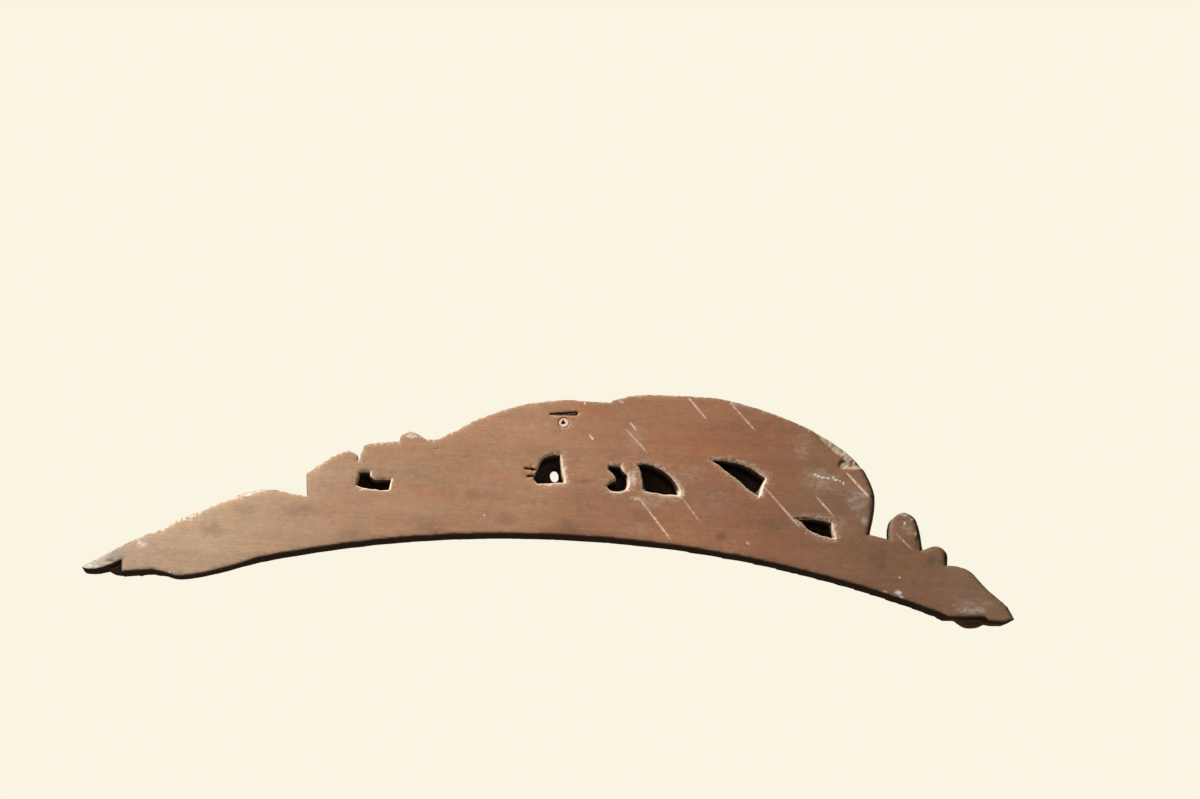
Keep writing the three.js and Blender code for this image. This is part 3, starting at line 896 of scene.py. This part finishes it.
# Thick pale dust and bruised wood: middle, size along x and z, and strength.
DUST = [
    ((311, 82), (9, 3.2), 0.8), ((300, 87), (10, 3.6), 1.0), ((288, 90.5), (9, 3.2), 0.9),
    ((370, 54), (6, 2.4), 0.8), ((358, 62), (8, 2.6), 0.9), ((346, 65.5), (6, 2.2), 0.7),
    ((147, 153), (9, 4.5), 0.6), ((330, 8), (16, 3.2), 0.6), ((-71, 124), (4.5, 12), 0.8),
    ((-74, 104), (9, 3.5), 0.6), ((-118, 112), (5, 8), 0.5), ((-300, 96), (6, 8), 0.35),
    ((-180, 205), (20, 4), 0.5), ((-340, 104), (12, 4), 0.6), ((-405, 14), (18, 5), 0.4),
    ((395, 31), (6, 4), 0.7),
]


class WoodGraph(Graph):
    """The board's graph, with the places, noises and masks that its layers share."""

    def __init__(self, name):
        super().__init__(name)
        self.x, self.y, self.z = self.axis("X"), self.axis("Y"), self.axis("Z")
        self.facing = self.node("SeparateXYZ", [self.node("NewGeometry", output="Normal")], output=2)
        self.fibre = self.noise((34, 6, 0.55), 2.0)
        self.streak = self.noise((110, 10, 2.4), 3.0, shift=3.1, distortion=0.25)
        self.band = self.noise((240, 30, 13), 2.0, shift=7.7)
        self.blotch = self.noise((26, 20, 17), 3.0, shift=11.3)
        self.cloud = self.noise((75, 40, 42), 2.0, shift=17.9)
        self.mottle = self.noise((6.5, 6.5, 4.5), 2.0, shift=21.0)
        self.speckle = self.noise((1.6, 1.6, 1.1), 1.0, shift=23.0)
        self.rag = self.swing(self.noise((2.2, 2.2, 1.6), 1.0, shift=29.0), 0.9)
        self.wide_rag = self.swing(self.noise((9, 9, 5), 3.0, shift=31.0), 1.6)
        self.pores = self.times(self.fleck(0.64, 0.72, (7, 3, 0.45), 1.0, 37.0), 0.35)
        layers = [(self.streak, 0.20), (self.fibre, 0.28), (self.band, 0.26), (self.cloud, 0.30)]
        layers += [(self.mottle, 0.34), (self.speckle, 0.34)]
        self.grain = self.plus(*(self.swing(*layer) for layer in layers))
        self.scratch = self.most([self.scratched(*scratch) for scratch in SCRATCHES])
        self.pocket = self.attribute("pocket")
        self.outside = self.rest(self.pocket)
        self.solid = self.attribute("solid")
        self.groove = self.step(0.54, 0.74, self.solid)
        # Painted shade: surfaces facing down below the back's edge, the underside, are made near black and
        # less specular.
        below_edge = self.step(BACK - 0.6, BACK - 1.6, self.y)
        self.under = self.times(self.step(-0.25, -0.6, self.facing), below_edge)
        # The real stain deep on the carved front, joined with the underside's painted shade.
        forward = self.step(BACK - 24.0, BACK - 29.0, self.plus(self.y, self.times(self.wide_rag, 3.0)))
        self.stain_and_underside_shade = self.times(self.math("MAXIMUM", self.under, forward), self.outside)

    def scratched(self, start, end, width, strength):
        """One ragged scratch."""
        return self.times(self.stroke(start, end, SCRATCH_REACH * width, self.rag), strength)

    def patch(self, middle, size, strength):
        """One ragged patch."""
        return self.times(self.spot(middle, size, self.wide_rag), strength)

    def patches(self, marks):
        """The strongest of several patches at each place."""
        return self.most([self.patch(*mark) for mark in marks])

    def grained(self, colour, amount):
        """A colour with the wood's grain in it."""
        return self.shade(colour, self.plus(self.times(self.grain, amount), 1.0))


def bare_wood(g):
    """Bare wood: its colour along the board, partly painted light growing paler towards the tip, patches, and
    grain from broad bands down to fibres.
    """
    ramp = g.tree.nodes.new("ShaderNodeValToRGB")
    along = g.plus(g.x, g.swing(g.cloud, 90.0))
    g.set(ramp.inputs[0], g.node("MapRange", [along, -HALF_LENGTH, HALF_LENGTH, 0.0, 1.0]))
    stops = ramp.color_ramp.elements
    while len(stops) < len(BARE_WOOD_AND_PAINTED_FALLOFF):
        stops.new(0.5)
    for stop, (place, colour) in zip(stops, BARE_WOOD_AND_PAINTED_FALLOFF):
        stop.position = (place + HALF_LENGTH) / (2 * HALF_LENGTH)
        stop.color = colour + (1.0,)
    bare = ramp.outputs[0]
    bare = g.tint(g.times(g.step(0.5, 0.72, g.blotch), 0.42), bare, (1.08, 0.91, 0.80))
    bare = g.tint(g.times(g.step(0.5, 0.28, g.blotch), 0.5), bare, (0.86, 0.93, 1.0))
    bare = g.tint(g.patches(RED_WOOD), bare, (1.10, 0.88, 0.76))
    bare = g.tint(g.patches(GREY_WOOD), bare, (1.02, 1.17, 1.24))
    bare = g.grained(bare, 1.0)
    return g.tint(g.pores, bare, (0.62, 0.52, 0.45))


def marks_on_back(g, bare):
    """Lays stains, haze, dust, rubbed patches, scratches and specks over the bare wood."""
    bare = g.mix(g.times(g.patches(STAINS), 0.7), bare, (0.10, 0.065, 0.045))
    haze = g.times(g.patches(HAZES), g.fleck(0.3, 0.62, (5, 5, 3.2), 3.0, 41.0))
    bare = g.mix(g.times(haze, 0.6), bare, (0.56, 0.47, 0.42))
    dusty = g.times(g.patches(DUST), g.fleck(0.34, 0.56, (3.5, 3.5, 2.2), 3.0, 71.0))
    bare = g.mix(dusty, bare, (0.76, 0.68, 0.60))
    rubbed = g.times(g.fleck(0.60, 0.70, (11, 6, 3.0), 4.0, 43.0), g.step(0.5, 0.62, g.cloud), 0.3)
    bare = g.mix(rubbed, bare, (0.50, 0.40, 0.33))
    broken = g.plus(g.times(g.fleck(0.36, 0.60, (3.0, 3.0, 3.0), 2.0, 47.0), 0.6), 0.38)
    bare = g.mix(g.times(g.scratch, broken), bare, (0.84, 0.68, 0.58))
    speck = g.most([g.spot(middle, size, g.rag) for middle, size in SPECKS])
    return g.mix(g.times(speck, 0.9), bare, (0.90, 0.84, 0.78))


def weathered_tip(g, bare):
    """Turns the bare wood grey at the weathered tip, and paler towards its point: partly weathering, partly
    painted light.
    """
    # The paling towards the point is partly painted light, where the curved point faces the light.
    grey = g.mix(g.step(420.0, 446.0, g.x), (0.27, 0.225, 0.165), (0.52, 0.475, 0.41))
    grey = g.grained(grey, 1.3)
    grey = g.mix(g.times(g.fleck(0.5, 0.3, (8, 8, 4), 2.0, 53.0), 0.5), grey, (0.17, 0.15, 0.11))
    along = g.plus(g.x, g.times(g.wide_rag, 7.0), g.times(g.plus(g.z, -20.0), 0.25))
    return g.mix(g.step(408.0, 415.0, along), bare, grey)


def fresh_wood(g):
    """Pale wood, where a tool has cut through the old surface."""
    fresh = g.mix(g.blotch, (0.50, 0.36, 0.235), (0.80, 0.66, 0.52))
    return g.shade(fresh, g.plus(g.swing(g.streak, 0.5), 1.0))


def cut_edges(g, bare):
    """The edges outside the pockets: aged cuts, paler nicks, olive wear and dust on what faces up."""
    cut = g.attribute("cut")
    aged = g.mix(0.5, g.shade(bare, 0.62), (0.15, 0.11, 0.07))
    colour = g.mix(g.times(cut, g.outside), bare, aged)
    nicks = g.times(cut, g.rest(g.times(g.step(-250.0, -290.0, g.x), 0.85)), g.outside)
    nicks = g.times(nicks, g.fleck(0.34, 0.6, (4, 4, 4), 2.0, 59.0))
    colour = g.mix(nicks, colour, g.mix(0.35, fresh_wood(g), (0.9, 0.85, 0.78)))
    rim = g.times(g.attribute("rim"), g.outside)
    olive = g.grained(g.mix(g.blotch, (0.105, 0.078, 0.047), (0.21, 0.16, 0.108)), 1.0)
    turned = g.math("MAXIMUM", g.step(BACK - 0.25, BACK - 0.6, g.y), g.step(0.08, 0.3, g.facing))
    colour = g.mix(g.times(rim, turned, 0.9), colour, olive)
    dust = g.times(rim, g.step(-0.1, 0.35, g.facing), g.fleck(0.40, 0.62, (5, 5, 5), 3.0, 67.0))
    dust = g.times(dust, g.step(-310.0, -270.0, g.x), g.step(BACK - 6.0, BACK - 1.0, g.y), 0.7)
    return g.mix(dust, colour, (0.66, 0.57, 0.47))


def pockets_and_chip(g, colour):
    """The pockets' fresh walls, painted shade on their ceilings and deep inside them, pale lips, and the
    chip's broken wood.
    """
    colour = g.mix(g.pocket, colour, fresh_wood(g))
    shadow = g.times(g.pocket, g.step(-0.15, -0.5, g.facing), g.step(BACK - 1.6, BACK - 3.4, g.y))
    colour = g.mix(g.times(shadow, 0.94), colour, (0.045, 0.022, 0.010))
    broken = g.mix(g.step(0.35, 0.65, g.blotch), (0.40, 0.30, 0.19), (0.62, 0.49, 0.34))
    colour = g.mix(g.step(0.3, 1.0, g.attribute("chip")), colour, g.grained(broken, 1.5))
    lip = g.times(g.attribute("lip"), g.fleck(0.36, 0.62, (3.4, 3.4, 2.4), 2.0, 61.0))
    colour = g.mix(g.times(lip, g.step(40.0, -20.0, g.x), 0.8), colour, (0.55, 0.43, 0.34))
    # Painted shade: everything deeper than a few millimetres inside the pockets is made near black.
    painted_deep_shade = g.times(g.step(BACK - 6.0, BACK - 13.0, g.y), g.pocket)
    return g.mix(g.times(painted_deep_shade, 0.93), colour, (0.022, 0.012, 0.007))


def dark_stain_and_underside_shade(g, colour):
    """Lays the stain over the carved front, darker in grooves and rubbed off on high edges, and painted shade
    over the underside.
    """
    stain = g.grained(g.mix(g.band, (0.095, 0.034, 0.012), (0.16, 0.062, 0.024)), 1.2)
    stain = g.mix(g.times(g.groove, 0.8), stain, (0.018, 0.008, 0.004))
    worn = g.times(g.step(0.47, 0.33, g.solid), g.step(0.35, 0.65, g.blotch), 0.55)
    stain = g.mix(worn, stain, (0.34, 0.17, 0.085))
    # Painted shade: the underside made near black; the lobe at the knobs' end keeps a less dark colour over
    # it.
    stain = g.mix(g.under, stain, (0.034, 0.011, 0.004))
    lobe = g.times(g.under, g.step(-386.0, -394.0, g.x), g.step(2.0, -1.0, g.y))
    stain = g.mix(lobe, stain, (0.12, 0.045, 0.018))
    return g.mix(g.stain_and_underside_shade, colour, stain)


def carved_wood():
    """Bare weathered hardwood behind, partly painted paler towards the tip, pale cuts with painted shade in
    the pockets, a dark stain over the carved front, and painted shade over the underside.
    """
    g = WoodGraph("carved_wood")
    colour = weathered_tip(g, marks_on_back(g, bare_wood(g)))
    colour = pockets_and_chip(g, cut_edges(g, colour))
    colour = dark_stain_and_underside_shade(g, colour)
    g.set(g.shader.inputs["Specular IOR Level"], g.math("SUBTRACT", 0.5, g.times(g.under, 0.42)))
    roughness = g.plus(0.72, g.times(g.fibre, 0.12), g.times(g.stain_and_underside_shade, -0.34))
    roughness = g.plus(roughness, g.times(g.stain_and_underside_shade, g.groove, 0.25))
    bump = g.plus(g.times(g.fibre, 0.5), g.times(g.streak, 0.45), g.times(g.speckle, 0.25))
    bump = g.plus(bump, g.times(g.pores, -0.9), g.times(g.scratch, -0.5))
    return g.finish(colour, roughness, bump, 0.15)


def plug_wood():
    """Pale softwood end grain, with its rings and pores, and painted shade down its sides and its pilot hole.
    """
    g = Graph("plug_wood")
    heart = (plug_centre[0] + 9.0, 0.0, plug_centre[2] + 4.0)
    values = {
        "Vector": g.node("VectorMath", [g.place, heart], operation="SUBTRACT"),
        "Scale": 0.55,
        "Distortion": 1.5,
        "Detail": 2.0,
    }
    rings = g.node("TexWave", values, wave_type="RINGS", rings_direction="Y")
    pore = g.noise((0.5, 3, 0.5), 2.0)
    colour = g.mix(g.times(rings, 0.35), (0.74, 0.56, 0.45), (0.60, 0.40, 0.29))
    colour = g.shade(colour, g.plus(0.86, g.times(pore, 0.28)))
    # Painted shade: darker from just under the top downwards, down the sides and inside the pilot hole.
    depth = g.step(plug_high[1] - 0.6, plug_high[1] - 3.0, g.axis("Y"))
    colour = g.mix(depth, colour, (0.10, 0.055, 0.03))
    return g.finish(colour, g.plus(0.7, g.times(pore, 0.15)), g.plus(g.times(rings, 0.4), pore), 0.12)


def nail_iron():
    """Dark rusted wrought iron, pitted, with browner rust in patches."""
    g = Graph("nail_iron")
    pits = g.noise((0.9, 0.9, 0.9), 3.0)
    patch = g.noise((3.5, 3.5, 3.5), 2.0, shift=5.0)
    colour = g.mix(g.step(0.42, 0.62, patch), (0.028, 0.014, 0.011), (0.105, 0.034, 0.012))
    colour = g.shade(colour, g.plus(0.6, g.times(pits, 0.8)))
    g.shader.inputs["Metallic"].default_value = 0.25
    return g.finish(colour, g.plus(0.55, g.times(patch, 0.3)), pits, 0.25)


def dress(piece, node, material):
    """Puts a finished piece in a CAD node's place."""
    piece.data.materials.append(material)
    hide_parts(node)
    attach(piece, "root")


dress(carve_board(), "carved_board", carved_wood())
dress(make_plug(), "screw_hole_plug", plug_wood())
dress(make_nail(), "clinched_nail", nail_iron())

# ---- Studio ----

scene = bpy.context.scene
scene.view_settings.view_transform = "Standard"


def studio_world():
    """A cream backdrop for the camera, and a much weaker sky that lights the shadows."""
    world = bpy.data.worlds.new("studio")
    scene.world = world
    world.use_nodes = True
    nodes, links = world.node_tree.nodes, world.node_tree.links
    seen, sky = nodes["Background"], nodes.new("ShaderNodeBackground")
    seen.inputs["Color"].default_value = (0.956, 0.913, 0.760, 1)
    sky.inputs["Color"].default_value = (1.0, 0.92, 0.84, 1)
    sky.inputs["Strength"].default_value = 0.045
    path, mix = nodes.new("ShaderNodeLightPath"), nodes.new("ShaderNodeMixShader")
    links.new(path.outputs["Is Camera Ray"], mix.inputs[0])
    links.new(sky.outputs[0], mix.inputs[1])
    links.new(seen.outputs[0], mix.inputs[2])
    links.new(mix.outputs[0], nodes["World Output"].inputs["Surface"])


def lamp(name, place, aim, watts, size, colour):
    """A square area light, in metres and watts, turned to its aim."""
    data = bpy.data.lights.new(name, "AREA")
    data.energy, data.size, data.color = watts, size, colour
    made = add_object(name, data)
    made.location = place
    made.rotation_euler = (Vector(aim) - Vector(place)).to_track_quat("-Z", "Y").to_euler()


studio_world()
BOARD_MIDDLE = (0.0, 0.0, 0.10)
lamp("key", (1.25, 0.95, 1.45), BOARD_MIDDLE, 86, 0.10, (1.0, 0.96, 0.90))
lamp("front_softbox", (-0.7, -1.7, 1.1), BOARD_MIDDLE, 30, 1.2, (1.0, 0.97, 0.93))


def studio_floor():
    """A paper floor far below the board."""
    half, height = 1.6, -1.3
    corners = [(-half, -half, height), (half, -half, height), (half, half, height), (-half, half, height)]
    floor = add_mesh("floor", corners, [(0, 1, 2, 3)])
    g = Graph("floor_paper")
    tone = g.noise((60, 60, 60), 3.0)
    colour = g.shade((0.62, 0.60, 0.54), g.plus(0.97, g.times(tone, 0.06)))
    floor.data.materials.append(g.finish(colour, 0.9, tone, 0.2))


studio_floor()

# The camera looks at the back from below and a little towards the weathered tip, and frames the board low and
# left.
CAMERA_AZIMUTH = math.radians(176)
CAMERA_ELEVATION = math.radians(-11)
CAMERA_DISTANCE = 2.5
CAMERA_ROLL = math.radians(2.53)
CAMERA_MIDDLE = Vector((0, 0, 0.1025))
CAMERA_AIM = CAMERA_MIDDLE + Vector((-0.0362, 0, 0.1021))
VIEW_WIDTH = 1.1704
SENSOR = 36.0


def photographer():
    """Places and aims the camera."""
    towards = Vector((
        math.sin(CAMERA_AZIMUTH) * math.cos(CAMERA_ELEVATION),
        -math.cos(CAMERA_AZIMUTH) * math.cos(CAMERA_ELEVATION),
        math.sin(CAMERA_ELEVATION),
    ))
    data = bpy.data.cameras.new("camera")
    camera = add_object("camera", data)
    scene.camera = camera
    camera.location = CAMERA_MIDDLE + towards * CAMERA_DISTANCE
    facing = (camera.location - CAMERA_AIM).to_track_quat("Z", "Y")
    camera.rotation_mode = "QUATERNION"
    camera.rotation_quaternion = facing @ Quaternion((0, 0, 1), CAMERA_ROLL)
    data.sensor_width = SENSOR
    data.lens = SENSOR * CAMERA_DISTANCE / VIEW_WIDTH


photographer()
